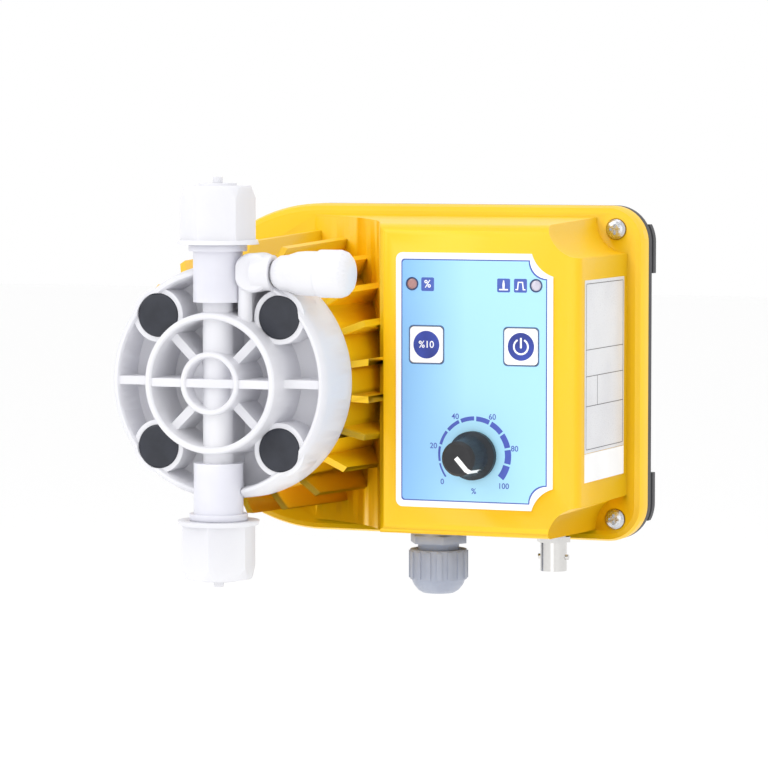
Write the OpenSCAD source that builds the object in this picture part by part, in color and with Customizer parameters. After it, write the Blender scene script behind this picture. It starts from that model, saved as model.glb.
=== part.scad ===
// Wall-mounted solenoid metering pump: finned casing with a control box, diaphragm head and two check valves.
// The back pads stand on the plane y = 0 and the front faces -Y. A "reach" is a distance forward from the wall.

/* [Casing] */
// Overall width of the casing
casing_w = 190; // [184:1:200]
// Overall height of the casing, and the diameter of its round end
casing_h = 124; // [122:1:130]
// Radius of the casing's two square-end corners
corner_r = 13.5; // [10:0.5:18]
// Thickness of the pads on the back plate
pad_t = 3; // [2:0.5:6]
// Thickness of the back plate
plate_t = 4.5; // [3.5:0.5:7]
// Depth of the casing's rim in front of the back plate
rim_t = 8; // [7:0.5:10]
// Wall thickness of the moulded casing
wall = 3; // [2.4:0.1:3.4]
// Width of the rim seal
seal_w = 1.6; // [1.2:0.1:1.7]

/* [Control box] */
// Reach of the control panel from the wall
panel_reach = 70; // [66:1:76]
// Width of the control box at its front
box_w = 80.4; // [78:0.1:84]
// Ledge of the rim above and below the box
box_margin = 5.7; // [5:0.1:7]
// Amount by which the box is taller at the rim than at its front, each side
box_draft = 1.7; // [0.8:0.1:2]
// Ledge of the rim to the right of the box
box_ledge = 5.6; // [5:0.1:7]
// Edge radius on the left of the box front
left_edge_r = 7.5; // [5:0.5:9]
// Edge radius on the other sides of the box front
front_edge_r = 4; // [2:0.5:5]
// Radius of the round recess at each screw corner
recess_r = 12.5; // [11:0.5:13.5]
// Depth of the hollow in the ramp between the round end and the box
ramp_sag = 5.5; // [3:0.5:8]

/* [Fins] */
// Number of cooling fins round the solenoid barrel
fin_count = 22; // [18:2:26]
// Outer radius of the fins
fin_r = 49.5; // [47:0.5:52]
// Thickness of a fin
fin_t = 2.4; // [1.8:0.1:3]
// Chamfer on the front corner of a fin
fin_chamfer = 6.5; // [4:0.5:7]
// Outer radius of the solenoid barrel
barrel_r = 42.3; // [41:0.1:43.5]
// Reach of the barrel's front face from the wall
barrel_reach = 89; // [88:0.5:94]

/* [Panel] */
// Width of the panel overlay
overlay_w = 60; // [58:0.5:62]
// Height of the panel overlay
overlay_h = 92; // [88:1:94]
// Thickness of the panel overlay
overlay_t = 0.6; // [0.4:0.1:0.9]
// Distance of the overlay's centre from the box's centre
overlay_shift = 0.5; // [0:0.1:1]
// Radius of the notch at the overlay's right corners
notch_r = 9.5; // [6:0.5:11]
// Width of a key
key_w = 12.6; // [11:0.2:13.6]
// Height of a key
key_h = 13; // [11:0.2:14]
// Travel of a key when it is pressed
key_travel = 0.4; // [0.2:0.1:0.5]
// Distance of each key from the panel's centre line
key_x = 18.1; // [17:0.1:19]
// Height of the keys above the panel's centre
key_z = 12.8; // [10:0.1:16]
// Distance of each indicator from the panel's centre line
led_x = 23.7; // [22:0.1:25]
// Height of the indicators above the panel's centre
led_z = 34.7; // [32:0.1:36]
// Radius of an indicator
led_r = 1.9; // [1.5:0.1:2.5]
// Distance of the rate dial below the panel's centre
dial_z = 26.7; // [24:0.1:28]

/* [Knob] */
// Radius of the knob's skirt
knob_skirt_r = 8.8; // [8.4:0.1:9.6]
// Radius of the knob's grip
knob_r = 6.6; // [6.2:0.1:7.2]
// Height of the knob above the panel
knob_reach = 17.5; // [14:0.5:20]
// Radius of the potentiometer shaft
shaft_r = 3; // [2.5:0.1:3.2]
// Running clearance of a shaft or stem, on the radius
run_gap = 0.05; // [0.03:0.01:0.08]

/* [Pump head] */
// Outer radius of the head at the barrel
head_r = 43; // [42.4:0.1:43.2]
// Reach of the head's outer skirt from the wall
skirt_reach = 111; // [110:0.5:114]
// Thickness of the head's floor
floor_t = 8; // [7:0.5:9]
// Wall thickness of the skirt at its lip
skirt_wall = 3.2; // [2.4:0.1:4]
// Outer radius of the inner ring at its front
ring_r = 25.2; // [24.6:0.1:26]
// Wall thickness of the inner ring
ring_wall = 2.3; // [1.8:0.1:2.8]
// Reach of the inner ring and hub from the wall
ring_reach = 118.4; // [117.5:0.1:121]
// Outer radius of the hub
hub_r = 11.3; // [10:0.1:12]
// Radius of the upright flow tube
tube_r = 5.5; // [5:0.1:6]
// Radius of the flow passages in the head
passage_r = 2.5; // [2:0.1:3]
// Side of the square on which the head bolts stand
bolt_square = 47.3; // [46:0.1:48]
// Radius of a bolt boss
boss_r = 9.7; // [9.5:0.1:9.9]
// Radius of a bolt cap
cap_r = 7.9; // [7.2:0.1:8.1]
// Radius of a head bolt
bolt_r = 2.5; // [2:0.1:3]

/* [Valves] */
// Reach of the valve axis from the wall
valve_reach = 110; // [109:0.5:112]
// Height at which the valves seat on the flow tube
valve_seat_z = 28.8; // [28:0.1:30]
// Radius of a valve body
valve_r = 8.9; // [8.6:0.1:9.8]
// Radius of a valve body's collar
collar_r = 10.5; // [10.3:0.1:11.4]
// Height of the open face of a valve nut
nut_z = 49.4; // [49:0.1:51]
// Height of a valve nut
nut_h = 21.8; // [20:0.2:24]
// Radius of a valve nut over its corners
nut_r = 13.5; // [13.2:0.1:14.2]
// Radius of a valve nut's flange
nut_flange_r = 14.7; // [14.4:0.1:15.6]
// Radius of a check ball
ball_r = 4; // [3.6:0.1:4.2]
// Lift of a check ball
ball_lift = 1.5; // [1:0.1:1.8]
// Radius of the hose nipple's tip
nipple_r = 1.8; // [1.6:0.1:2.2]

/* [Bleed valve] */
// Distance of the bleed elbow to the right of the head's axis
bleed_x = 15; // [14:0.1:15.5]
// Height of the bleed valve's axis
bleed_z = 39.5; // [39.2:0.1:40]
// Radius of the bleed elbow
bleed_elbow_r = 7; // [6.4:0.1:7.4]
// Length of the bleed knob
bleed_knob_l = 29.5; // [26:0.5:34]
// Radius of the bleed knob
bleed_knob_r = 8.5; // [8:0.1:8.9]
// Radius of the bleed stem
bleed_stem_r = 3; // [2.6:0.1:3.4]
// Pitch of the bleed stem's thread
bleed_pitch = 1.25; // [0.8:0.05:1.5]

/* [Solenoid] */
// Outer radius of the solenoid's yoke
yoke_r = 30; // [28:0.5:30.5]
// Length of the solenoid's yoke
yoke_l = 46; // [42:1:48]
// Radius of the armature
armature_r = 10; // [9:0.1:10.5]
// Stroke of the armature and diaphragm
stroke = 1.2; // [0.8:0.1:1.4]
// Radius of the diaphragm
diaphragm_r = 22; // [20:0.5:23]
// Thickness of the diaphragm
diaphragm_t = 2; // [1.6:0.1:2.4]

/* [Sockets] */
// Distance of the gland and the signal socket from the box's centre
socket_x = 22.4; // [21:0.1:23]
// Reach of the gland and the signal socket from the wall
socket_reach = 46; // [40:1:48]
// Radius of the gland's thread
gland_thread_r = 7.6; // [7.2:0.1:8]
// Width across the flats of the gland's hexagon
gland_flats = 19; // [18:0.2:20]
// Radius of the gland's cap nut
gland_cap_r = 10.9; // [10.4:0.1:11.4]
// Radius of the opening for the cable
cable_r = 3.5; // [2.5:0.1:4]
// Outer radius of the signal socket's barrel
bnc_r = 4.85; // [4.7:0.05:5]
// Length of the signal socket below the box
bnc_l = 12.5; // [11:0.5:14]

/* [Wall fixing] */
// Distance between the wall fixing holes across the casing
fixing_x = 136; // [128:1:140]
// Distance of the fixing holes' middle to the right of the casing's middle
fixing_shift = 10; // [6:1:12]
// Distance between the wall fixing holes up the casing
fixing_z = 92; // [86:1:94]
// Radius of a wall fixing hole
fixing_r = 2.1; // [1.6:0.1:2.6]

/* [Hidden] */
$fn = 64;

casing_yellow = "#f7cd0c";
plate_grey = "#3b3b3d";
polypropylene_white = "#f1f2f3";
nylon_clear = "#e6e6ea";
gland_grey = "#989ead";
cap_black = "#33353f";
nickel = "#c9cace";
steel = "#a9adb2";

// Places worked out from the driving sizes
seam = 0.3;
edge = 0.01;
end_r = casing_h / 2;
head_x = end_r - casing_w / 2;
right_x = casing_w / 2;
plate_reach = pad_t + plate_t;
rim_back = plate_reach + seam;
rim_reach = rim_back + rim_t;
box_right = right_x - box_ledge;
box_left = box_right - box_w;
box_x = (box_left + box_right) / 2;
box_h = casing_h - 2 * box_margin;
panel_x = box_x + overlay_shift;
box_top = box_h / 2;
box_top_rim = box_top + box_draft;
overlay_reach = panel_reach + overlay_t;
screw_inset = 10;
screw_x = right_x - screw_inset;
screw_z = end_r - 8.5;
left_screw_angle = 24;
left_screw_r = end_r - 6;
head_floor = barrel_reach + floor_t;
bolt_half = bolt_square / 2;
board_reach = panel_reach - 18;
board_t = 1.6;
board_front = board_reach + board_t;

// Extrudes an outline drawn in x and z from one reach to another
module between(reach_a, reach_b) {
    translate([0, -reach_a, 0]) rotate([90, 0, 0]) linear_extrude(reach_b - reach_a) children();
}

// A disc facing the front, centred on x and z
module disc(x, z, r, reach_a, reach_b) {
    translate([x, -reach_a, z]) rotate([90, 0, 0]) cylinder(r = r, h = reach_b - reach_a);
}

// A round piece about an axis towards the front, from points of radius and reach
module turned_forward(x, z, points) {
    translate([x, 0, z]) rotate([90, 0, 0]) rotate_extrude() polygon(points);
}

// Extrudes an outline drawn in z and reach along x
module across(x_a, x_b) {
    translate([x_a, 0, 0]) rotate([180, 0, 0]) rotate([0, 90, 0]) linear_extrude(x_b - x_a) children();
}

// A box from its corners, with y given as reaches
module block(x, reach, z) {
    translate([x[0], -reach[1], z[0]]) cube([x[1] - x[0], reach[1] - reach[0], z[1] - z[0]]);
}

// The casing's outline as a slab whose edge goes from one inset to another
module casing_slab(reach_a, reach_b, inset_a, inset_b) {
    t = reach_b - reach_a;
    za = end_r - inset_a;
    zb = end_r - inset_b;
    corner_z = end_r - corner_r;
    corner_x = right_x - corner_r;
    translate([head_x, -reach_a, 0]) rotate([90, 0, 0]) cylinder(r1 = za, r2 = zb, h = t);
    for (side = [-1, 1])
        translate([corner_x, -reach_a, side * corner_z])
            rotate([90, 0, 0]) cylinder(r1 = corner_r - inset_a, r2 = corner_r - inset_b, h = t);
    across(head_x, corner_x) polygon([[-za, reach_a], [za, reach_a], [zb, reach_b], [-zb, reach_b]]);
    translate([0, 0, -corner_z]) linear_extrude(2 * corner_z)
        polygon([[head_x, -reach_a], [right_x - inset_a, -reach_a],
                 [right_x - inset_b, -reach_b], [head_x, -reach_b]]);
}

// Repeats a piece at the four casing screws
module at_casing_screws() {
    for (side = [-1, 1]) {
        translate([screw_x, 0, side * screw_z]) children();
        translate([head_x - left_screw_r * cos(left_screw_angle), 0, side * left_screw_r * sin(left_screw_angle)])
            children();
    }
}

// Repeats a piece at the four head bolts
module at_head_bolts() {
    for (sx = [-1, 1])
        for (sz = [-1, 1])
            translate([head_x + sx * bolt_half, 0, sz * bolt_half]) children();
}

// Back plate, pads and seal
pad_w = 46;
pad_h = 18;
pad_proud = 0.3;
centre_pad_r = 12;
fixing_depth = 5;

module at_fixings() {
    for (sx = [-1, 1])
        for (sz = [-1, 1])
            translate([fixing_shift + sx * fixing_x / 2, 0, sz * fixing_z / 2]) children();
}

module back_plate() {
    color(plate_grey) difference() {
        union() {
            casing_slab(pad_t, pad_t + 1, 1, 0);
            casing_slab(pad_t + 1, plate_reach, 0, 0);
        }
        at_casing_screws() disc(0, 0, screw_r + 0.2, pad_t - 1, plate_reach + 1);
        at_fixings() disc(0, 0, fixing_r, pad_t - 1, fixing_depth);
    }
}

module wall_pads() {
    color(plate_grey) difference() {
        intersection() {
            at_fixings() between(0, pad_t) square([pad_w, pad_h], center = true);
            casing_slab(0, pad_t, -pad_proud, -pad_proud);
        }
        at_fixings() disc(0, 0, fixing_r, -1, pad_t + 1);
    }
    color(plate_grey) disc(0, 0, centre_pad_r, 0, pad_t);
}

seal_inset = 2.2;
seal_depth = 1;

module casing_seal() {
    color("#2b2b2d") difference() {
        casing_slab(plate_reach, rim_back + seal_depth, seal_inset, seal_inset);
        casing_slab(plate_reach - 1, rim_back + seal_depth + 1, seal_inset + seal_w, seal_inset + seal_w);
    }
}

screw_r = 1.9;
screw_head_r = 3.7;
screw_head_t = 2.6;
screw_seat = rim_reach - 0.6;

module casing_screws() {
    color(nickel) at_casing_screws() difference() {
        union() {
            turned_forward(0, 0, [
                [0, screw_seat], [screw_head_r, screw_seat], [screw_head_r, screw_seat + screw_head_t * 0.45],
                [screw_head_r * 0.8, screw_seat + screw_head_t * 0.85], [screw_head_r * 0.45, screw_seat + screw_head_t],
                [0, screw_seat + screw_head_t]
            ]);
            disc(0, 0, screw_r, pad_t + 0.5, screw_seat + edge);
        }
        for (turn = [0, 90])
            rotate([0, turn, 0])
                block([-2, 2], [screw_seat + screw_head_t - 1.4, screw_seat + screw_head_t + 1], [-0.45, 0.45]);
    }
}

// Front casing
ramp_foot = head_x - 2;
ramp_top_reach = panel_reach - left_edge_r - 3;

// Side wall and ramp seen from above, as x and -reach, moved inwards by an inset
module plan_outline(inset) {
    chord = norm([box_left - ramp_foot, ramp_top_reach - rim_reach]);
    bow_r = (chord * chord / 4 + ramp_sag * ramp_sag) / (2 * ramp_sag);
    slope = atan2(ramp_top_reach - rim_reach, box_left - ramp_foot);
    middle = [(ramp_foot + box_left) / 2, (rim_reach + ramp_top_reach) / 2];
    bow = middle + (bow_r - ramp_sag) * [-sin(slope), cos(slope)];
    front = panel_reach - inset;
    left_r = left_edge_r;
    right_r = front_edge_r;
    difference() {
        polygon([
            [ramp_foot + inset, -rim_back + 1], [ramp_foot + inset, -rim_reach],
            [box_left + inset, -ramp_top_reach], [box_left + inset, -(front - left_r)],
            for (a = [0:15:90])
                [box_left + inset + left_r * (1 - cos(a)), -(front - left_r * (1 - sin(a)))],
            for (a = [0:15:90])
                [box_right - inset - right_r * (1 - sin(a)), -(front - right_r * (1 - cos(a)))],
            [box_right - inset, -rim_back + 1]
        ]);
        translate([bow[0], -bow[1]]) circle(r = bow_r + inset, $fn = 96);
    }
}

// Top and bottom walls seen from the side, as z and reach
module side_outline(inset) {
    r = front_edge_r;
    top = box_top - inset;
    front = panel_reach - inset;
    polygon([
        for (s = [-1, 1])
            for (a = s < 0 ? [90:-15:0] : [0:15:90])
                s < 0 ? [-(top - r * (1 - sin(a))), front - r * (1 - cos(a))]
                      : [top - r * (1 - sin(a)), front - r * (1 - cos(a))],
        [box_top_rim - inset, rim_back - 1],
        [-(box_top_rim - inset), rim_back - 1]
    ]);
}

recess_x = box_right + 0.5;
recess_z = box_top + 0.7;

// The box seen from the front, with a round recess at each screw corner
module box_outline(inset) {
    difference() {
        translate([ramp_foot, -end_r]) square([box_right - ramp_foot, 2 * end_r]);
        for (side = [-1, 1])
            translate([recess_x, side * recess_z]) circle(r = recess_r + inset);
    }
}

module box_block(inset) {
    intersection() {
        between(inset > 0 ? rim_back - 1 : rim_back + 1, panel_reach + 1) box_outline(inset);
        translate([0, 0, -end_r]) linear_extrude(2 * end_r) plan_outline(inset);
        across(ramp_foot - 1, box_right + 1) side_outline(inset);
    }
}

// One cooling fin standing along +X from the barrel, with its front corner cut off
module fin() {
    root = barrel_r - 2;
    tip_reach = barrel_reach - 0.6;
    between_fin = [
        [root, rim_reach - 1], [fin_r + 2.4, rim_reach - 1], [fin_r, tip_reach - fin_chamfer],
        [fin_r - fin_chamfer, tip_reach], [root, tip_reach]
    ];
    translate([0, 0, -fin_t / 2]) linear_extrude(fin_t) polygon([for (p = between_fin) [p[0], -p[1]]]);
}

module barrel_and_fins() {
    turned_forward(head_x, 0, [
        [0, rim_reach - 1], [barrel_r, rim_reach - 1], [barrel_r, barrel_reach - 1.5],
        [barrel_r - 1.5, barrel_reach], [0, barrel_reach]
    ]);
    intersection() {
        translate([head_x, 0, 0])
            for (i = [0:fin_count - 1])
                rotate([0, (i + 0.5) * 360 / fin_count, 0]) fin();
        block([head_x - end_r, box_left + left_edge_r * 0.7], [0, barrel_reach], [-end_r + 4, end_r - 4]);
    }
}

barrel_bore = yoke_r + 0.2;
flange_t = 10;
coil_back = barrel_reach - flange_t - yoke_l;
post_x = 30;
post_z = 40;

module at_board_posts() {
    for (sx = [-1, 1])
        for (sz = [-1, 1])
            translate([box_x + sx * post_x, 0, sz * post_z]) children();
}

// Openings that the panel's parts need in the front wall
module panel_openings() {
    for (side = [-1, 1]) {
        translate([panel_x + side * key_x, 0, key_z]) {
            block([-key_w / 2 - key_gap, key_w / 2 + key_gap], [panel_reach - key_pocket, panel_reach + 1],
                  [-key_h / 2 - key_gap, key_h / 2 + key_gap]);
            disc(0, 0, key_stem_r + 0.4, panel_reach - wall - 1, panel_reach);
        }
        disc(panel_x + side * led_x, led_z, led_r + 0.1, panel_reach - wall - 1, panel_reach + 1);
    }
    disc(panel_x, -dial_z, bush_r + 0.2, panel_reach - wall - 1, panel_reach + 1);
}

module front_casing() {
    color(casing_yellow) difference() {
        union() {
            difference() {
                union() {
                    casing_slab(rim_back, rim_reach - 3, 0, 0);
                    casing_slab(rim_reach - 3, rim_reach - 1, 0, 0.8);
                    casing_slab(rim_reach - 1, rim_reach, 0.8, 2.6);
                    box_block(0);
                }
                difference() {
                    casing_slab(rim_back - 1, rim_reach - wall, seal_inset + seal_w + 2.4, seal_inset + seal_w + 2.4);
                    at_casing_screws() disc(0, 0, screw_boss_r, rim_back - 2, rim_reach);
                }
                difference() {
                    box_block(wall);
                    at_casing_screws() disc(0, 0, screw_boss_r, rim_back - 2, rim_reach);
                }
            }
            barrel_and_fins();
            at_board_posts() disc(0, 0, 3.5, board_front, panel_reach - wall + 1);
        }
        disc(head_x, 0, barrel_bore, rim_back - 1, barrel_reach - flange_t);
        disc(head_x, 0, rod_r + 0.5, barrel_reach - flange_t - 1, barrel_reach + 1);
        disc(head_x, 0, plunger_hole_r, barrel_reach - 5, barrel_reach + 1);
        difference() {
            casing_slab(rim_back - 1, rim_back + seal_depth, seal_inset, seal_inset);
            casing_slab(rim_back - 2, rim_back + seal_depth + 1, seal_inset + seal_w, seal_inset + seal_w);
        }
        at_casing_screws() {
            disc(0, 0, screw_r, rim_back - 1, rim_reach + 1);
            disc(0, 0, screw_head_r + 0.3, screw_seat, rim_reach + 1);
        }
        at_head_bolts() disc(0, 0, bolt_r, barrel_reach - flange_t + 2, barrel_reach + 1);
        at_board_posts() disc(0, 0, board_screw_r, board_front - 1, board_front + 8);
        panel_openings();
        for (side = [-1, 1])
            translate([box_x + side * socket_x, -socket_reach, -box_top_rim - 1])
                cylinder(r = side < 0 ? gland_thread_r + 0.1 : bnc_thread_r + 0.1, h = wall + box_draft + 3);
    }
}

screw_boss_r = 5;
plunger_hole_r = 14;
board_screw_r = 1.25;

label_t = 0.2;
label_low = -25.5;
label_high = 36.5;
label_back = 20;
label_front = 64;
serial_low = -36;

module rating_label() {
    color("#c9cbd0")
        block([box_right, box_right + label_t], [label_back, label_front], [label_low, label_high]);
}

module serial_label() {
    color("#f4f4f4")
        block([box_right, box_right + label_t], [label_back, label_front], [serial_low, label_low - 0.2]);
}

// Control panel
key_gap = 0.15;
key_pocket = 1;
key_proud = 0.9;
key_stem_r = 2.5;
bush_r = 4.7;

module overlay_outline() {
    corner = 2.5;
    left = panel_x - overlay_w / 2;
    top = overlay_h / 2;
    difference() {
        union() {
            translate([left, -top + corner]) square([overlay_w, overlay_h - 2 * corner]);
            translate([left + corner, -top]) square([overlay_w - corner, overlay_h]);
            for (side = [-1, 1])
                translate([left + corner, side * (top - corner)]) circle(r = corner);
        }
        for (side = [-1, 1])
            translate([left + overlay_w + notch_r * 0.35, side * (top + notch_r * 0.35)])
                circle(r = notch_r * 1.25);
    }
}

module panel_overlay() {
    color("#9fd4fb") difference() {
        between(panel_reach, overlay_reach) overlay_outline();
        for (side = [-1, 1]) {
            translate([panel_x + side * key_x, 0, key_z])
                block([-key_w / 2 - key_gap, key_w / 2 + key_gap], [panel_reach - 1, overlay_reach + 1],
                      [-key_h / 2 - key_gap, key_h / 2 + key_gap]);
            disc(panel_x + side * led_x, led_z, led_r + 0.1, panel_reach - 1, overlay_reach + 1);
        }
        disc(panel_x, -dial_z, bush_r + 0.2, panel_reach - 1, overlay_reach + 1);
    }
}

// A key cap with the stem that reaches back to its switch
module key(side) {
    back = panel_reach - key_pocket + key_travel + 0.1;
    r = 1.5;
    translate([panel_x + side * key_x, 0, key_z]) {
        between(back, panel_reach + key_proud) {
            square([key_w - 2 * r, key_h], center = true);
            square([key_w, key_h - 2 * r], center = true);
            for (sx = [-1, 1])
                for (sz = [-1, 1])
                    translate([sx * (key_w / 2 - r), sz * (key_h / 2 - r)]) circle(r = r);
        }
        disc(0, 0, key_stem_r, switch_top + key_travel + 0.1, back + edge);
    }
}

module percent_key() {
    color("#fafafa") key(-1);
}

module power_key() {
    color("#fafafa") key(1);
}

switch_top = board_front + 6;

module tact_switch(side) {
    translate([panel_x + side * key_x, 0, key_z]) {
        block([-3, 3], [board_front, switch_top - 2], [-3, 3]);
        disc(0, 0, 1.75, board_front + 1, switch_top);
    }
}

module percent_switch() {
    color("#2a2a2c") tact_switch(-1);
}

module power_switch() {
    color("#2a2a2c") tact_switch(1);
}

// An indicator: a lens in the panel on a light pipe from the board
module lamp(side) {
    turned_forward(panel_x + side * led_x, led_z, [
        [0, board_front], [led_r * 0.75, board_front], [led_r * 0.75, panel_reach - wall],
        [led_r, panel_reach - wall], [led_r, overlay_reach], [led_r * 0.7, overlay_reach + 0.3],
        [0, overlay_reach + 0.4]
    ]);
}

module percent_lamp() {
    color("#b08a88") lamp(-1);
}

module signal_lamp() {
    color("#c9c5d6") lamp(1);
}

// Control board
module control_board() {
    color("#1f6b3a") difference() {
        block([box_x - post_x - 3.5, box_x + post_x + 3.5], [board_reach, board_front], [-post_z - 3, post_z + 3]);
        at_board_posts() disc(0, 0, board_screw_r + 0.2, board_reach - 1, board_front + 1);
    }
}

module board_screws() {
    color(steel) at_board_posts() {
        disc(0, 0, 2.6, board_reach - 2, board_reach);
        disc(0, 0, board_screw_r, board_reach - edge, board_front + 6);
    }
}

pot_front = panel_reach - wall;

module rate_potentiometer() {
    color("#50555c") difference() {
        union() {
            disc(panel_x, -dial_z, 8.5, board_front, pot_front);
            disc(panel_x, -dial_z, bush_r, pot_front - edge, overlay_reach);
        }
        disc(panel_x, -dial_z, shaft_r + run_gap, board_front + 2, overlay_reach + 1);
    }
}

knob_back = overlay_reach + 0.3;
knob_front = panel_reach + knob_reach;

module potentiometer_shaft() {
    color(steel) disc(panel_x, -dial_z, shaft_r, board_front + 2.2, knob_front - 3);
}

pointer_angle = -48;
pointer_w = 1.7;

module rate_knob() {
    color("#232326") difference() {
        turned_forward(panel_x, -dial_z, [
            [0, knob_back], [knob_skirt_r, knob_back], [knob_skirt_r, knob_back + 2.4],
            [knob_skirt_r - 0.6, knob_back + 3.2], [knob_r + 0.5, knob_back + 5], [knob_r, knob_back + 7.5],
            [knob_r - 0.3, knob_front - 1.4], [knob_r - 1.4, knob_front], [0, knob_front]
        ]);
        disc(panel_x, -dial_z, shaft_r, knob_back - 1, knob_front - 3);
        translate([panel_x, 0, -dial_z]) rotate([0, -pointer_angle, 0])
            block([0, knob_r + 2], [knob_front - 0.5, knob_front + 1], [-pointer_w / 2, pointer_w / 2]);
    }
}

module knob_pointer() {
    color("white") translate([panel_x, 0, -dial_z]) rotate([0, -pointer_angle, 0])
        block([0, knob_r - 1.5], [knob_front - 0.5, knob_front + 0.05], [-pointer_w / 2, pointer_w / 2]);
}

// Solenoid
yoke_front = barrel_reach - flange_t;
yoke_wall = 3.5;
core_l = 14;
core_front = coil_back + yoke_wall + core_l;
armature_back = core_front + 0.4;
rod_r = 4;
spring_wire = 1.2;
spring_r = 6.6;
spring_turns = 5;
diaphragm_back = barrel_reach;

module solenoid_yoke() {
    color(steel) difference() {
        disc(head_x, 0, yoke_r, coil_back, yoke_front);
        disc(head_x, 0, yoke_r - yoke_wall, coil_back + yoke_wall, yoke_front - yoke_wall);
        disc(head_x, 0, armature_r + run_gap, coil_back + yoke_wall - 1, yoke_front + 1);
    }
}

module solenoid_coil() {
    color("#b5652b") difference() {
        disc(head_x, 0, yoke_r - yoke_wall - 0.2, coil_back + yoke_wall + 0.1, yoke_front - yoke_wall - 0.1);
        disc(head_x, 0, armature_r + 0.4, coil_back, yoke_front);
    }
}

module solenoid_core() {
    color(steel) disc(head_x, 0, armature_r - 0.1, coil_back + yoke_wall, core_front);
}

spring_room = 9;
armature_front = yoke_front - spring_room;
centre_r = 12;

module armature() {
    color("#8d9197") union() {
        disc(head_x, 0, armature_r, armature_back, armature_front);
        disc(head_x, 0, rod_r, armature_front - edge, barrel_reach - 3);
        disc(head_x, 0, centre_r - 0.5, barrel_reach - 3 - edge, barrel_reach);
    }
}

// Helix of round wire, as rings of points swept along the coil
module coil_spring(x, reach_a, reach_b, r, wire_r, turns) {
    sides = 6;
    per_turn = 14;
    rings = turns * per_turn;
    function ring(i) = [
        for (k = [0:sides - 1])
            let (a = 360 * i / per_turn, s = 360 * k / sides,
                 rr = r + wire_r * cos(s), h = reach_a + (reach_b - reach_a) * i / rings + wire_r * sin(s))
                [x + rr * cos(a), -h, rr * sin(a)]
    ];
    points = [for (i = [0:rings]) each ring(i)];
    sides_faces = [
        for (i = [0:rings - 1])
            for (k = [0:sides - 1])
                let (n = (k + 1) % sides)
                    each [[i * sides + k, (i + 1) * sides + k, (i + 1) * sides + n],
                          [i * sides + k, (i + 1) * sides + n, i * sides + n]]
    ];
    first = [for (k = [1:sides - 2]) [0, k, k + 1]];
    last = [for (k = [1:sides - 2]) [rings * sides, rings * sides + k + 1, rings * sides + k]];
    polyhedron(points = points, faces = concat(sides_faces, first, last));
}

module return_spring() {
    color(nickel)
        coil_spring(head_x, armature_front + stroke + 0.2 + spring_wire / 2, yoke_front - spring_wire / 2,
                    spring_r, spring_wire / 2, spring_turns);
}

module diaphragm() {
    color("#2f3033") difference() {
        disc(head_x, 0, diaphragm_r, diaphragm_back, diaphragm_back + diaphragm_t);
        disc(head_x, 0, centre_r + 0.3, diaphragm_back - 1, diaphragm_back + diaphragm_t + 1);
    }
}

module diaphragm_centre() {
    color("#2f3033") disc(head_x, 0, centre_r, diaphragm_back, diaphragm_back + diaphragm_t);
}

// Pump head
lip_r = head_r - 1;
chamber_r = diaphragm_r - 5;
boss_reach = valve_reach - 0.2;
cap_t = 3;
port_z = 8;
spoke_t = 3;
notch_half = valve_r + 0.3;

module head_shell() {
    turned_forward(head_x, 0, [
        [0, barrel_reach], [head_r, barrel_reach], [lip_r + 0.2, skirt_reach - 5], [lip_r - 0.4, skirt_reach - 1.6],
        [lip_r - 1.6, skirt_reach], [lip_r - skirt_wall + 0.6, skirt_reach], [lip_r - skirt_wall, skirt_reach - 1],
        [lip_r - skirt_wall - 0.8, head_floor], [0, head_floor]
    ]);
}

module head_rings() {
    turned_forward(head_x, 0, [
        [ring_r - ring_wall, head_floor - 1], [ring_r + 1.6, head_floor - 1], [ring_r, ring_reach - 0.7],
        [ring_r - 0.6, ring_reach], [ring_r - ring_wall + 0.6, ring_reach], [ring_r - ring_wall, ring_reach - 0.7]
    ]);
    turned_forward(head_x, 0, [
        [0, head_floor - 1], [hub_r + 0.6, head_floor - 1], [hub_r, ring_reach - 0.6], [hub_r - 0.5, ring_reach],
        [hub_r - 1.5, ring_reach], [hub_r - 2, ring_reach - 0.6], [hub_r - 2, ring_reach - 7],
        [0, ring_reach - 7]
    ]);
}

module head_ribs() {
    for (side = [-1, 1])
        block([head_x + (side > 0 ? 0 : -lip_r + 1), head_x + (side > 0 ? lip_r - 1 : 0)],
              [head_floor - 1, skirt_reach - 0.8], [-spoke_t / 2, spoke_t / 2]);
    block([head_x - ring_r + 1, head_x + ring_r - 1], [head_floor - 1, ring_reach - 1], [-spoke_t / 2, spoke_t / 2]);
    for (turn = [45:90:315])
        translate([head_x, 0, 0]) rotate([0, turn, 0])
            block([hub_r - 2, ring_r - 1], [head_floor - 1, skirt_reach + 1.5], [-1.6, 1.6]);
}

module flow_tube() {
    half = valve_seat_z + 1;
    translate([head_x, -valve_reach, -half]) cylinder(r = tube_r, h = 2 * half);
    block([head_x - tube_r + 1, head_x + tube_r - 1], [head_floor - 1, valve_reach], [-half, half]);
}

bleed_reach = valve_reach + 1;
bleed_mouth = head_x + bleed_x + bleed_elbow_r;

module bleed_elbow() {
    turned_forward(head_x + bleed_x, bleed_z, [
        [0, bleed_reach - 7], [bleed_elbow_r, bleed_reach - 7], [bleed_elbow_r, bleed_reach + 3.5],
        [bleed_elbow_r - 0.8, bleed_reach + 4.5], [0, bleed_reach + 4.5]
    ]);
    translate([head_x + bleed_x, -bleed_reach, bleed_z]) rotate([0, 90, 0])
        cylinder(r = bleed_elbow_r - 0.7, h = bleed_elbow_r);
    translate([head_x + bleed_x - 4, -bleed_reach, ring_r - 5]) cylinder(r = 2.6, h = bleed_z - ring_r + 5);
    block([head_x + bleed_x - 6, head_x + bleed_x - 2], [head_floor - 1, bleed_reach], [ring_r - 5, bleed_z]);
}

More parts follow.
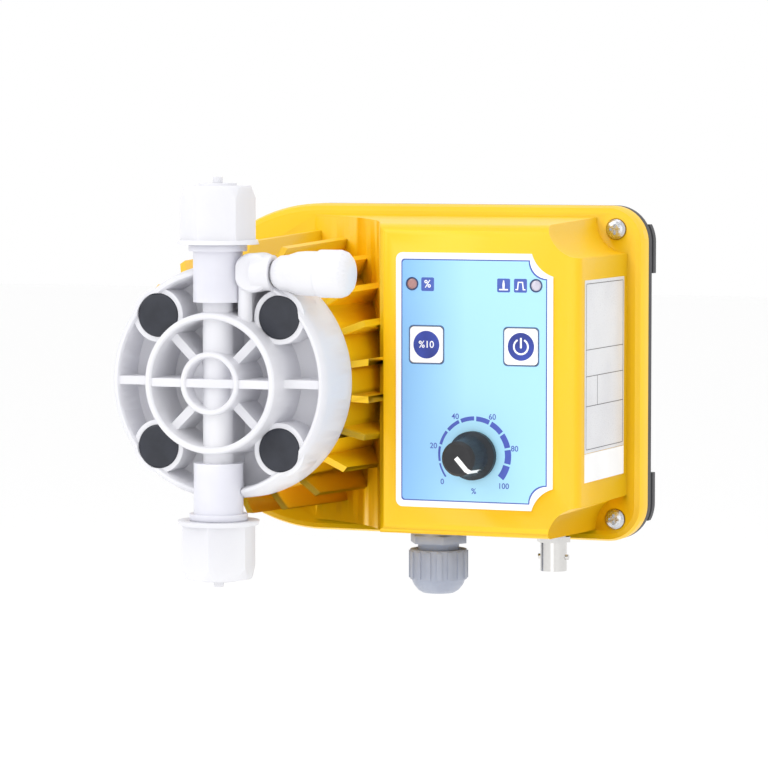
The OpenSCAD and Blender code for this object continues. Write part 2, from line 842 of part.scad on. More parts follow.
module pump_head() {
    color(polypropylene_white) difference() {
        union() {
            head_shell();
            head_rings();
            head_ribs();
            flow_tube();
            at_head_bolts() disc(0, 0, boss_r, head_floor - 1, boss_reach);
            bleed_elbow();
        }
        // Diaphragm seat and pump chamber
        disc(head_x, 0, diaphragm_r, barrel_reach - 1, barrel_reach + diaphragm_t);
        disc(head_x, 0, chamber_r, barrel_reach, barrel_reach + diaphragm_t + stroke + 0.6);
        // Flow passages
        for (side = [-1, 1]) {
            disc(head_x, side * port_z, passage_r - 0.4, barrel_reach + diaphragm_t, valve_reach + 1);
            translate([head_x, -valve_reach, side > 0 ? port_z - 1 : -valve_seat_z - 1])
                cylinder(r = passage_r, h = valve_seat_z - port_z + 2);
            // Room for the valve body where it crosses the skirt
            block([head_x - notch_half, head_x + notch_half], [valve_reach - notch_half, ring_reach + 5],
                  side > 0 ? [valve_seat_z, head_r + 20] : [-head_r - 20, -valve_seat_z]);
        }
        // Bolt holes, each with a pocket for the bolt's head and its cap
        at_head_bolts() {
            disc(0, 0, bolt_r + 0.3, barrel_reach - 1, skirt_reach + 2);
            disc(0, 0, cap_r, bolt_head_seat, skirt_reach + 2);
        }
        // Bore for the bleed stem
        translate([head_x + bleed_x - 2, -bleed_reach, bleed_z]) rotate([0, 90, 0])
            cylinder(r = bleed_stem_r + run_gap, h = bleed_elbow_r + 4);
        translate([bleed_mouth - bleed_pocket, -bleed_reach, bleed_z]) rotate([0, 90, 0])
            cylinder(r = bleed_ring_r, h = bleed_pocket + 1);
    }
}

bolt_head_seat = valve_reach - 9;
bolt_head_r = 4.4;
bolt_head_t = 5;

module head_bolts() {
    color(nickel) at_head_bolts() difference() {
        union() {
            disc(0, 0, bolt_head_r, bolt_head_seat, bolt_head_seat + bolt_head_t);
            disc(0, 0, bolt_r, yoke_front + 2.5, bolt_head_seat + edge);
        }
        translate([0, -bolt_head_seat - bolt_head_t + 2.5, 0]) rotate([90, 0, 0]) cylinder(r = 2.3, h = 4, $fn = 6);
    }
}

module bolt_caps() {
    color(cap_black) at_head_bolts() turned_forward(0, 0, [
        [0, valve_reach - cap_t], [cap_r, valve_reach - cap_t], [cap_r, valve_reach - 0.1],
        [cap_r - 0.5, valve_reach + 0.3], [0, valve_reach + 0.3]
    ]);
}

// Check valves: the delivery valve stands above the head and the suction valve hangs below it
seat_hole_r = ball_r * 0.75;
ball_rise = sqrt(ball_r * ball_r - seat_hole_r * seat_hole_r);
ball_gap = 0.06;
cage_r = ball_r + 0.6;
seat_t = 2;
seat_inset = 2.2;
chamber_l = ball_rise + ball_gap + ball_lift + ball_rise;
valve_bore_r = seat_hole_r;
thread_r = 10.2;
thread_top = nut_z + nut_h - 6;

// Points the valve's own height along +Z or -Z
module on_valve_axis(side) {
    translate([head_x, -valve_reach, 0]) rotate([side > 0 ? 0 : 180, 0, 0]) children();
}

// Valve body from its seat on the flow tube up to its thread, with the ball's chamber from one height to another
module valve_body(chamber_low, chamber_high, narrow_high) {
    difference() {
        union() {
            translate([0, 0, valve_seat_z]) cylinder(r = valve_r, h = nut_z - 2.4 - valve_seat_z);
            translate([0, 0, nut_z - 2.4 - edge]) cylinder(r = collar_r, h = 2.4 - seam);
            translate([0, 0, nut_z - seam - 2 * edge]) cylinder(r = thread_r, h = thread_top - nut_z + seam);
        }
        translate([0, 0, valve_seat_z - 1]) cylinder(r = valve_bore_r, h = thread_top);
        translate([0, 0, chamber_low]) cylinder(r = cage_r, h = chamber_high - chamber_low);
        // Slots that let the liquid past the ball when it is up
        translate([0, 0, narrow_high])
            for (turn = [0, 90])
                rotate(turn) translate([-cage_r, -0.8, 0]) cube([2 * cage_r, 1.6, 2.5]);
        translate([0, 0, thread_top - 4]) cylinder(r = 7, h = 6);
        translate([0, 0, valve_seat_z - 1]) cylinder(r = seal_ring_r, h = 1 + seal_ring_t);
    }
}

seal_ring_r = 4.9;
seal_ring_t = 1.4;
delivery_seat_low = valve_seat_z + seat_inset;
delivery_ball_z = delivery_seat_low + seat_t + ball_rise + ball_gap;
delivery_chamber_top = delivery_seat_low + seat_t + chamber_l;
suction_seat_low = valve_seat_z + 3.2 + chamber_l;
suction_ball_z = suction_seat_low - ball_rise - ball_gap;

module delivery_valve_body() {
    color(nylon_clear) on_valve_axis(1) valve_body(delivery_seat_low, delivery_chamber_top, delivery_chamber_top - edge);
}

module suction_valve_body() {
    color(nylon_clear) on_valve_axis(-1)
        valve_body(suction_seat_low - chamber_l, suction_seat_low + seat_t, suction_seat_low - chamber_l - 2.5 + edge);
}

module seat_ring(low) {
    difference() {
        translate([0, 0, low]) cylinder(r = cage_r, h = seat_t);
        translate([0, 0, low - 1]) cylinder(r = seat_hole_r, h = seat_t + 2);
    }
}

module delivery_seat() {
    color("#3a3a3c") on_valve_axis(1) seat_ring(delivery_seat_low);
}

module suction_seat() {
    color("#3a3a3c") on_valve_axis(-1) seat_ring(suction_seat_low);
}

module delivery_ball() {
    color("#f6f6f4") translate([head_x, -valve_reach, delivery_ball_z]) sphere(r = ball_r);
}

module suction_ball() {
    color("#f6f6f4") translate([head_x, -valve_reach, -suction_ball_z]) sphere(r = ball_r);
}

// Flat seal ring between a valve body and the end of the flow tube
module seal_ring() {
    difference() {
        translate([0, 0, valve_seat_z]) cylinder(r = seal_ring_r, h = seal_ring_t);
        translate([0, 0, valve_seat_z - 1]) cylinder(r = valve_bore_r, h = seal_ring_t + 2);
    }
}

module delivery_seal() {
    color("#2b2b2d") on_valve_axis(1) seal_ring();
}

module suction_seal() {
    color("#2b2b2d") on_valve_axis(-1) seal_ring();
}

nut_top = nut_z + nut_h;
nut_bore_r = thread_r + 0.1;
nut_roof = 4;

// Hose nipple: a flange on the valve body, and a tip that comes out of the nut
module nipple() {
    difference() {
        union() {
            translate([0, 0, thread_top]) cylinder(r = thread_r - 0.4, h = 2);
            translate([0, 0, thread_top - edge]) cylinder(r = nipple_r + 1.2, h = nut_top - nut_roof - thread_top);
            translate([0, 0, thread_top - edge]) cylinder(r = nipple_r, h = nut_top + 2.2 - thread_top);
        }
        translate([0, 0, thread_top - 1]) cylinder(r = nipple_r - 0.7, h = nut_h);
    }
}

module delivery_nipple() {
    color(nylon_clear) on_valve_axis(1) nipple();
}

module suction_nipple() {
    color(nylon_clear) on_valve_axis(-1) nipple();
}

// Hexagonal union nut with a round flange at its open end
module union_nut() {
    flange_t = 1.6;
    difference() {
        union() {
            translate([0, 0, nut_z]) cylinder(r1 = nut_flange_r, r2 = nut_flange_r - 0.5, h = flange_t);
            intersection() {
                translate([0, 0, nut_z]) rotate(nut_turn) cylinder(r = nut_r, h = nut_h - 0.9, $fn = 6);
                translate([0, 0, nut_z]) cylinder(r1 = nut_r + 6, r2 = nut_r - 1.6, h = nut_h - 0.9);
            }
            translate([0, 0, nut_top - 4]) cylinder(r = 6.8, h = 4);
        }
        translate([0, 0, nut_z - 1]) cylinder(r = nut_bore_r, h = nut_h - nut_roof + 1);
        translate([0, 0, nut_z]) cylinder(r = nipple_r + 0.1, h = nut_h + 1);
    }
}

nut_turn = 22;

module delivery_nut() {
    color(polypropylene_white) on_valve_axis(1) union_nut();
}

module suction_nut() {
    color(polypropylene_white) on_valve_axis(-1) union_nut();
}

// Bleed valve
bleed_ring_r = bleed_stem_r + 1.5;
bleed_knob_back = bleed_mouth + 0.5;
bleed_travel = bleed_pitch / 2;
bleed_pocket = 2.4;
bleed_grip = 8;

module bleed_seal() {
    color("#2b2b2d") translate([bleed_mouth - bleed_pocket + 0.1, -bleed_reach, bleed_z]) rotate([0, 90, 0]) difference() {
        cylinder(r = bleed_ring_r - run_gap, h = bleed_pocket - bleed_travel - 0.2);
        translate([0, 0, -1]) cylinder(r = bleed_stem_r + run_gap, h = 4);
    }
}

module bleed_stem() {
    color(polypropylene_white) translate([head_x + bleed_x - 1, -bleed_reach, bleed_z]) rotate([0, 90, 0])
        cylinder(r = bleed_stem_r, h = bleed_knob_back + bleed_grip - head_x - bleed_x + 1);
}

module bleed_knob() {
    r = bleed_knob_r;
    l = bleed_knob_l;
    color(polypropylene_white) translate([bleed_knob_back, -bleed_reach, bleed_z]) rotate([0, 90, 0]) difference() {
        rotate_extrude() polygon([
            [0, 0], [r - 3.9, 0], [r - 3.4, 0.8], [r - 2.3, 2.6], [r - 2, 5.5], [r - 0.9, 9], [r - 0.6, 12],
            [r - 0.6, l - 12.5], [r, l - 11.9], [r, l - 4], [r - 0.7, l - 2], [r - 2.2, l - 0.6], [r - 4, l], [0, l]
        ]);
        translate([0, 0, -1]) cylinder(r = bleed_stem_r, h = bleed_grip + 1);
    }
}

// Cable gland
gland_x = box_x - socket_x;
gland_top = -box_top - box_draft * 0.45 - 0.3;
gland_hex_t = 4;
gland_neck = gland_top - gland_hex_t - 2.4;
gland_cap_h = 11;
gland_dome = 5;

module at_gland() {
    translate([gland_x, -socket_reach, 0]) children();
}

module gland_body() {
    color(gland_grey) at_gland() difference() {
        union() {
            translate([0, 0, gland_top - gland_hex_t])
                cylinder(r = gland_flats / 2 / cos(30), h = gland_hex_t - 1, $fn = 6);
            translate([0, 0, gland_top - gland_hex_t]) cylinder(r = gland_flats / 2, h = gland_hex_t);
            translate([0, 0, gland_top - gland_hex_t - 8]) cylinder(r = gland_thread_r, h = gland_hex_t + 17.5);
        }
        translate([0, 0, gland_top - gland_hex_t - 9]) cylinder(r = cable_r + 1.6, h = gland_hex_t + 26);
    }
}

module gland_locknut() {
    color(gland_grey) at_gland() difference() {
        translate([0, 0, lock_z]) cylinder(r = 11, h = 4.5, $fn = 6);
        translate([0, 0, lock_z - 1]) cylinder(r = gland_thread_r, h = 8);
    }
}

lock_z = gland_top + wall + 1;

module gland_bush() {
    color("#33343a") at_gland() difference() {
        translate([0, 0, gland_neck - gland_cap_h - 1]) cylinder(r = cable_r + 1.5, h = 12);
        translate([0, 0, gland_neck - gland_cap_h - 2]) cylinder(r = cable_r, h = 14);
    }
}

module gland_cap() {
    ribs = 16;
    top = gland_neck;
    color(gland_grey) at_gland() difference() {
        union() {
            translate([0, 0, top - gland_cap_h]) cylinder(r = gland_cap_r - 0.5, h = gland_cap_h);
            for (i = [0:ribs - 1])
                rotate(i * 360 / ribs) translate([gland_cap_r - 1.3, -1, top - gland_cap_h + 0.5])
                    cube([1.3, 2, gland_cap_h - 1]);
            translate([0, 0, top - gland_cap_h]) rotate([180, 0, 0]) rotate_extrude() polygon([
                [0, -1], [gland_cap_r - 0.6, -1], [gland_cap_r - 1, 0], [gland_cap_r - 1.8, 2], [gland_cap_r - 3.4, 4],
                [gland_cap_r - 5, gland_dome], [0, gland_dome]
            ]);
        }
        translate([0, 0, top - gland_cap_h - gland_dome - 1]) cylinder(r = cable_r + 1.5, h = gland_cap_h + gland_dome);
        translate([0, 0, top - gland_cap_h + 3]) cylinder(r = gland_thread_r, h = gland_cap_h);
    }
}

// Signal socket
bnc_x = box_x + socket_x;
bnc_thread_r = 4.75;
bnc_top = gland_top;
bnc_low = bnc_top - bnc_l;
bnc_nut_t = 2;

module at_bnc() {
    translate([bnc_x, -socket_reach, 0]) children();
}

module bnc_shell() {
    color(nickel) at_bnc() difference() {
        union() {
            translate([0, 0, bnc_low]) cylinder(r = bnc_r, h = bnc_l - bnc_nut_t - 0.1);
            translate([0, 0, bnc_low + 1]) cylinder(r = bnc_thread_r, h = bnc_l + 4);
            translate([-bnc_r - 0.9, 0, bnc_low + 5]) rotate([0, 90, 0]) cylinder(r = 0.95, h = 2 * bnc_r + 1.8);
        }
        translate([0, 0, bnc_low - 1]) cylinder(r = 4.1, h = bnc_l);
        translate([0, 0, bnc_low]) cylinder(r = 2.4, h = bnc_l + 12);
    }
}

module bnc_insulator() {
    color("#f2f2ee") at_bnc() difference() {
        translate([0, 0, bnc_low + 3]) cylinder(r = 2.4, h = bnc_l + 8);
        translate([0, 0, bnc_low + 2]) cylinder(r = 0.7, h = bnc_l + 12);
    }
}

module bnc_contact() {
    color("#d8b25a") at_bnc() translate([0, 0, bnc_low + 4]) cylinder(r = 0.7, h = bnc_l + 9);
}

module bnc_nut() {
    color(nickel) at_bnc() difference() {
        translate([0, 0, bnc_top - bnc_nut_t]) cylinder(r = 6.4, h = bnc_nut_t, $fn = 6);
        translate([0, 0, bnc_top - bnc_nut_t - 1]) cylinder(r = bnc_thread_r, h = bnc_nut_t + 2);
    }
}

back_plate();
wall_pads();
casing_seal();
front_casing();
casing_screws();
rating_label();
serial_label();
panel_overlay();
percent_key();
power_key();
percent_lamp();
signal_lamp();
control_board();
board_screws();
percent_switch();
power_switch();
rate_potentiometer();
potentiometer_shaft();
rate_knob();
knob_pointer();
solenoid_yoke();
solenoid_coil();
solenoid_core();
armature();
return_spring();
diaphragm();
diaphragm_centre();
pump_head();
head_bolts();
bolt_caps();
delivery_valve_body();
delivery_seat();
delivery_ball();
delivery_seal();
delivery_nipple();
delivery_nut();
suction_valve_body();
suction_seat();
suction_ball();
suction_seal();
suction_nipple();
suction_nut();
bleed_seal();
bleed_stem();
bleed_knob();
gland_body();
gland_locknut();
gland_bush();
gland_cap();
bnc_shell();
bnc_insulator();
bnc_contact();
bnc_nut();
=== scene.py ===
import bpy
import math
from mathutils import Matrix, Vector


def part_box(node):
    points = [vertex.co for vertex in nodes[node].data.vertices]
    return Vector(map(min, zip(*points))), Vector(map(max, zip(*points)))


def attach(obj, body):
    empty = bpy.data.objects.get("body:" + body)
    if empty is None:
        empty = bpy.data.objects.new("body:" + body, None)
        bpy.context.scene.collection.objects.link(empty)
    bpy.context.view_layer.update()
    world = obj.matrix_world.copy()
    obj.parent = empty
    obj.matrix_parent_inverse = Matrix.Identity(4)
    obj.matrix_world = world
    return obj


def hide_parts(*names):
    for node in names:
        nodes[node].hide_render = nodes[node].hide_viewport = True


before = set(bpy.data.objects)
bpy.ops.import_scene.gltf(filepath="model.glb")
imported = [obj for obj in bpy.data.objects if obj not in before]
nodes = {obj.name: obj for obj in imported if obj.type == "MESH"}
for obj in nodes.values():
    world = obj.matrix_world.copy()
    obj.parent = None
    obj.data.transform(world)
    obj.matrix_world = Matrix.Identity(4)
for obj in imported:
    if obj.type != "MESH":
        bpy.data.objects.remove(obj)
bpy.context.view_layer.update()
millimetre = 0.001
print("frame loaded:", len(nodes), "nodes")


# Camera, light and floor

def makeCamera():
    camera = {
        "place": (0.55152, -1.41259, 0.09517),
        "target": (-0.01319, 0.0, -0.00694),
        "lens": 187.5,
    }
    place = Vector(camera["place"])
    aim = Vector(camera["target"]) - place
    bpy.ops.object.camera_add(location=place, rotation=aim.to_track_quat("-Z", "Y").to_euler())
    made = bpy.context.object
    made.data.lens = camera["lens"]
    made.data.sensor_width = 36
    made.data.clip_start = 0.05
    made.data.clip_end = 30
    bpy.context.scene.camera = made


def makeStudio():
    studio = {
        "floorHeight": -0.30,
        "worldStrength": 1.0,
        "lamps": [
            # name, place, size, watts: a broad key on the left, a fill on the right, one above, one in front
            ("keyLamp", (-0.75, -1.10, 0.85), 0.9, 5),
            ("fillLamp", (1.10, -0.80, 0.35), 1.0, 1.2),
            ("topLamp", (0.0, -0.15, 1.10), 0.8, 2.2),
            ("frontLamp", (0.25, -1.60, 0.10), 0.7, 1.5),
        ],
    }
    for name, place, size, watts in studio["lamps"]:
        aim = Vector((0, -0.05, 0)) - Vector(place)
        bpy.ops.object.light_add(type="AREA", location=place, rotation=aim.to_track_quat("-Z", "Y").to_euler())
        lamp = bpy.context.object
        lamp.name = name
        lamp.data.size = size
        lamp.data.energy = watts
    world = bpy.data.worlds.new("paleStudio")
    world.use_nodes = True
    world.node_tree.nodes["Background"].inputs["Color"].default_value = (1, 1, 1, 1)
    world.node_tree.nodes["Background"].inputs["Strength"].default_value = studio["worldStrength"]
    bpy.context.scene.world = world
    # The plain transform keeps the whites white and the yellow saturated
    bpy.context.scene.view_settings.view_transform = "Standard"
    bpy.ops.mesh.primitive_plane_add(size=14, location=(0, 0, studio["floorHeight"]))
    floor = bpy.context.object
    floor.name = "studioFloor"
    floor.data.materials.append(plainPaint("paleFloorPaint", "#fdfdfd", 0.9))


# Materials

def toLinear(hexText):
    channels = [int(hexText[i:i + 2], 16) / 255 for i in (1, 3, 5)]
    linear = [c / 12.92 if c <= 0.04045 else ((c + 0.055) / 1.055) ** 2.4 for c in channels]
    return (*linear, 1.0)


def addNode(tree, kind, settings=None, inputs=None):
    # One node with its settings, and each input either a value or a link from another node's output
    node = tree.nodes.new(kind)
    for key, value in (settings or {}).items():
        setattr(node, key, value)
    for key, value in (inputs or {}).items():
        if isinstance(value, bpy.types.NodeSocket):
            tree.links.new(value, node.inputs[key])
        else:
            node.inputs[key].default_value = value
    return node


def startMaterial(name):
    material = bpy.data.materials.new(name)
    material.use_nodes = True
    tree = material.node_tree
    tree.nodes.clear()
    place = addNode(tree, "ShaderNodeTexCoord").outputs["Object"]
    return material, tree, place


def finishMaterial(tree, inputs):
    shader = addNode(tree, "ShaderNodeBsdfPrincipled", {}, inputs)
    addNode(tree, "ShaderNodeOutputMaterial", {}, {"Surface": shader.outputs["BSDF"]})
    return shader


def blendColours(tree, factor, low, high, start=0.0, end=1.0):
    ramp = addNode(tree, "ShaderNodeValToRGB", {}, {"Fac": factor})
    ramp.color_ramp.elements[0].position = start
    ramp.color_ramp.elements[0].color = toLinear(low)
    ramp.color_ramp.elements[1].position = end
    ramp.color_ramp.elements[1].color = toLinear(high)
    return ramp.outputs["Color"]


def plainPaint(name, colour, roughness):
    # The studio's own even paint, which isn't part of the pump
    material, tree, place = startMaterial(name)
    finishMaterial(tree, {"Base Color": toLinear(colour), "Roughness": roughness})
    return material


def mouldedPlastic(name, look):
    # Injection-moulded plastic: an even colour, a faint flow mottle and the fine grain of a spark-eroded mould
    material, tree, place = startMaterial(name)
    flow = addNode(tree, "ShaderNodeTexNoise", {},
                   {"Vector": place, "Scale": 1 / (look["flow"] * millimetre), "Detail": 3.0})
    shade = blendColours(tree, flow.outputs["Fac"], look["shade"], look["colour"], 0.3, 0.62)
    grain = addNode(tree, "ShaderNodeTexNoise", {},
                    {"Vector": place, "Scale": 1 / (look["grain"] * millimetre), "Detail": 4.0,
                     "Roughness": 0.6})
    gloss = addNode(tree, "ShaderNodeMapRange", {},
                    {"Value": grain.outputs["Fac"], "From Min": 0.3, "From Max": 0.7,
                     "To Min": look["roughness"] - 0.05, "To Max": look["roughness"] + 0.06})
    bump = addNode(tree, "ShaderNodeBump", {},
                   {"Height": grain.outputs["Fac"], "Strength": look["bump"], "Distance": 0.0002})
    inputs = {"Base Color": shade, "Roughness": gloss.outputs["Result"], "Normal": bump.outputs["Normal"],
              "IOR": look.get("ior", 1.49)}
    if "glow" in look:
        # Natural polymer lets light in, so thin walls look soft and bright
        inputs["Subsurface Weight"] = look["glow"]
        inputs["Subsurface Radius"] = (0.004, 0.004, 0.0042)
        inputs["Subsurface Scale"] = 1.0
    if "coat" in look:
        inputs["Coat Weight"] = look["coat"]
        inputs["Coat Roughness"] = 0.12
    finishMaterial(tree, inputs)
    return material


def metal(name, look):
    # Bare or plated metal: fine lines from turning or drawing, and a slight tarnish between them
    material, tree, place = startMaterial(name)
    stretch = addNode(tree, "ShaderNodeMapping", {}, {"Vector": place, "Scale": look["stretch"]})
    lines = addNode(tree, "ShaderNodeTexNoise", {},
                    {"Vector": stretch.outputs["Vector"], "Scale": 1 / (look["lines"] * millimetre),
                     "Detail": 3.0})
    shade = blendColours(tree, lines.outputs["Fac"], look["shade"], look["colour"], 0.35, 0.65)
    gloss = addNode(tree, "ShaderNodeMapRange", {},
                    {"Value": lines.outputs["Fac"], "From Min": 0.3, "From Max": 0.7,
                     "To Min": look["roughness"] - 0.05, "To Max": look["roughness"] + 0.08})
    bump = addNode(tree, "ShaderNodeBump", {},
                   {"Height": lines.outputs["Fac"], "Strength": 0.12, "Distance": 0.0001})
    finishMaterial(tree, {"Base Color": shade, "Metallic": 1.0, "Roughness": gloss.outputs["Result"],
                          "Normal": bump.outputs["Normal"]})
    return material


def printedFilm(name, left, right, leftEdge, rightEdge):
    # Back-printed polyester film: the ink fades across the panel and the film has a fine satin texture
    material, tree, place = startMaterial(name)
    parts = addNode(tree, "ShaderNodeSeparateXYZ", {}, {"Vector": place})
    across = addNode(tree, "ShaderNodeMapRange", {},
                     {"Value": parts.outputs["X"], "From Min": leftEdge, "From Max": rightEdge})
    shade = blendColours(tree, across.outputs["Result"], left, right, 0.0, 0.45)
    satin = addNode(tree, "ShaderNodeTexNoise", {},
                    {"Vector": place, "Scale": 1 / (0.35 * millimetre), "Detail": 3.0})
    bump = addNode(tree, "ShaderNodeBump", {},
                   {"Height": satin.outputs["Fac"], "Strength": 0.05, "Distance": 0.0001})
    finishMaterial(tree, {"Base Color": shade, "Roughness": 0.34, "Normal": bump.outputs["Normal"],
                          "IOR": 1.57})
    return material


def copperWinding(name):
    # Enamelled copper wire wound in layers round the axis that points forward, with painted shade in the
    # grooves between the turns
    material, tree, place = startMaterial(name)
    parts = addNode(tree, "ShaderNodeSeparateXYZ", {}, {"Vector": place})
    wave = addNode(tree, "ShaderNodeMath", {"operation": "SINE"},
                   {0: addNode(tree, "ShaderNodeMath", {"operation": "MULTIPLY"},
                               {0: parts.outputs["Y"], 1: 2 * math.pi / (0.8 * millimetre)}).outputs["Value"]})
    height = addNode(tree, "ShaderNodeMapRange", {},
                     {"Value": wave.outputs["Value"], "From Min": -1.0, "From Max": 1.0})
    # Painted shade: the colour is darkest in the grooves between turns and lightest on the crowns of the wire,
    # following the bump's wave
    shade = blendColours(tree, height.outputs["Result"], "#5a2410", "#b5652b")
    bump = addNode(tree, "ShaderNodeBump", {},
                   {"Height": height.outputs["Result"], "Strength": 0.6, "Distance": 0.0003})
    finishMaterial(tree, {"Base Color": shade, "Roughness": 0.3, "Metallic": 0.6,
                          "Normal": bump.outputs["Normal"]})
    return material


panelLow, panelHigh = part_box("panel_overlay")

finishes = {
    # Polypropylene, moulded in colour: bright, a satin skin, grain about half a millimetre
    "casingYellow": mouldedPlastic("mouldedPolypropyleneYellow", {
        "colour": "#fcca03", "shade": "#f8c202", "flow": 60, "grain": 0.55, "bump": 0.22, "roughness": 0.4,
        "coat": 0.08}),
    # Glass-filled nylon: dark and dry-looking, coarse grain
    "plateGrey": mouldedPlastic("glassFilledNylonGrey", {
        "colour": "#454548", "shade": "#3a3a3c", "flow": 25, "grain": 0.5, "bump": 0.35, "roughness": 0.6,
        "ior": 1.53}),
    # Natural polypropylene: white, slightly milky, soft gloss
    "headWhite": mouldedPlastic("naturalPolypropylene", {
        "colour": "#e2e2e6", "shade": "#dbdbe1", "flow": 40, "grain": 0.5, "bump": 0.06, "roughness": 0.36,
        "glow": 0.12}),
    # Polyvinylidene fluoride: milky and half clear
    "valveMilky": mouldedPlastic("milkyFluoropolymer", {
        "colour": "#e0e0e8", "shade": "#d8d8e1", "flow": 20, "grain": 0.6, "bump": 0.04, "roughness": 0.32,
        "glow": 0.35, "ior": 1.42}),
    # Soft black-blue caps with a satin face
    "capBlack": mouldedPlastic("polyethyleneCapBlack", {
        "colour": "#292c36", "shade": "#20232c", "flow": 6, "grain": 0.5, "bump": 0.12, "roughness": 0.42}),
    # Knob in black nylon with a velvety skin
    "knobBlack": mouldedPlastic("softTouchNylonBlack", {
        "colour": "#202024", "shade": "#18181b", "flow": 5, "grain": 0.3, "bump": 0.2, "roughness": 0.5}),
    "pointerWhite": mouldedPlastic("pointerPaintWhite", {
        "colour": "#ffffff", "shade": "#f6f6f6", "flow": 3, "grain": 0.3, "bump": 0.05, "roughness": 0.45}),
    # Grey nylon of the gland, satin from the mould
    "glandGrey": mouldedPlastic("mouldedNylonGrey", {
        "colour": "#a3a9b8", "shade": "#979dad", "flow": 8, "grain": 0.4, "bump": 0.18, "roughness": 0.38,
        "ior": 1.53}),
    "sealRubber": mouldedPlastic("nitrileRubberBlack", {
        "colour": "#2a2a2c", "shade": "#202022", "flow": 5, "grain": 0.4, "bump": 0.3, "roughness": 0.7}),
    "keyWhite": mouldedPlastic("printedKeyWhite", {
        "colour": "#ffffff", "shade": "#f7f8fc", "flow": 6, "grain": 0.35, "bump": 0.05, "roughness": 0.35}),
    "filmWhite": mouldedPlastic("polyesterFilmWhite", {
        "colour": "#ffffff", "shade": "#fbfbfd", "flow": 30, "grain": 0.35, "bump": 0.04, "roughness": 0.35,
        "ior": 1.57}),
    "filmBlue": printedFilm("polyesterFilmBlue", "#83bcf6", "#aadff7", panelLow.x, panelHigh.x),
    # Screen inks on the film
    "inkBlue": mouldedPlastic("screenInkBlue", {
        "colour": "#4a62b8", "shade": "#465cb0", "flow": 4, "grain": 0.3, "bump": 0.04, "roughness": 0.4}),
    "inkDeepBlue": mouldedPlastic("screenInkDeepBlue", {
        "colour": "#3448aa", "shade": "#23307c", "flow": 9, "grain": 0.3, "bump": 0.04, "roughness": 0.35}),
    "inkWhite": mouldedPlastic("screenInkWhite", {
        "colour": "#ffffff", "shade": "#f4f6ff", "flow": 4, "grain": 0.3, "bump": 0.03, "roughness": 0.4}),
    "inkDial": mouldedPlastic("screenInkDial", {
        "colour": "#4d5fbf", "shade": "#4658b4", "flow": 4, "grain": 0.3, "bump": 0.03, "roughness": 0.4}),
    "inkNavy": mouldedPlastic("lampRingNavy", {
        "colour": "#2f4470", "shade": "#283b64", "flow": 4, "grain": 0.3, "bump": 0.03, "roughness": 0.4}),
    "inkSlate": mouldedPlastic("screenInkSlate", {
        "colour": "#4f6d9c", "shade": "#48648f", "flow": 4, "grain": 0.3, "bump": 0.03, "roughness": 0.4}),
    # Unlit lamp lenses
    "lensRed": mouldedPlastic("acrylicLensRed", {
        "colour": "#b58a88", "shade": "#a87e7d", "flow": 2, "grain": 0.4, "bump": 0.05, "roughness": 0.2,
        "coat": 0.5}),
    "lensClear": mouldedPlastic("acrylicLensClear", {
        "colour": "#cfcad9", "shade": "#c0bccd", "flow": 2, "grain": 0.4, "bump": 0.05, "roughness": 0.2,
        "coat": 0.5}),
    "labelFoil": mouldedPlastic("satinLabelFoil", {
        "colour": "#dcdde0", "shade": "#d0d1d6", "flow": 30, "grain": 0.3, "bump": 0.06, "roughness": 0.3,
        "coat": 0.2}),
    "labelWhite": mouldedPlastic("paperLabelWhite", {
        "colour": "#f6f6f6", "shade": "#f0f0f0", "flow": 12, "grain": 0.25, "bump": 0.12, "roughness": 0.55}),
    "labelInk": mouldedPlastic("labelInkBlack", {
        "colour": "#3a3a40", "shade": "#33333a", "flow": 4, "grain": 0.3, "bump": 0.03, "roughness": 0.4}),
    "boardGreen": mouldedPlastic("solderMaskGreen", {
        "colour": "#1f6b3a", "shade": "#185830", "flow": 4, "grain": 0.3, "bump": 0.1, "roughness": 0.35}),
    "switchBlack": mouldedPlastic("switchNylonBlack", {
        "colour": "#2a2a2c", "shade": "#202022", "flow": 3, "grain": 0.3, "bump": 0.1, "roughness": 0.45}),
    "ceramicWhite": mouldedPlastic("polishedCeramicWhite", {
        "colour": "#f7f7f3", "shade": "#efefe9", "flow": 3, "grain": 0.2, "bump": 0.02, "roughness": 0.12,
        "ior": 1.76}),
    "nickelPlate": metal("nickelPlate", {
        "colour": "#e3e2e0", "shade": "#cfcdca", "lines": 0.5, "stretch": (1, 1, 6), "roughness": 0.16}),
    "stainless": metal("stainlessSteel", {
        "colour": "#d5d6d9", "shade": "#b5b7bb", "lines": 0.6, "stretch": (1, 5, 1), "roughness": 0.24}),
    "machinedSteel": metal("machinedSteel", {
        "colour": "#b4b7bc", "shade": "#94979d", "lines": 0.5, "stretch": (1, 6, 1), "roughness": 0.32}),
    "zincPlate": metal("zincPlatedSteel", {
        "colour": "#a9adb2", "shade": "#8f9399", "lines": 1.5, "stretch": (1, 1, 1), "roughness": 0.4}),
    "goldPlate": metal("goldPlatedContact", {
        "colour": "#e3bd66", "shade": "#cba24c", "lines": 0.4, "stretch": (1, 1, 5), "roughness": 0.2}),
    "copper": copperWinding("enamelledCopperWinding"),
}

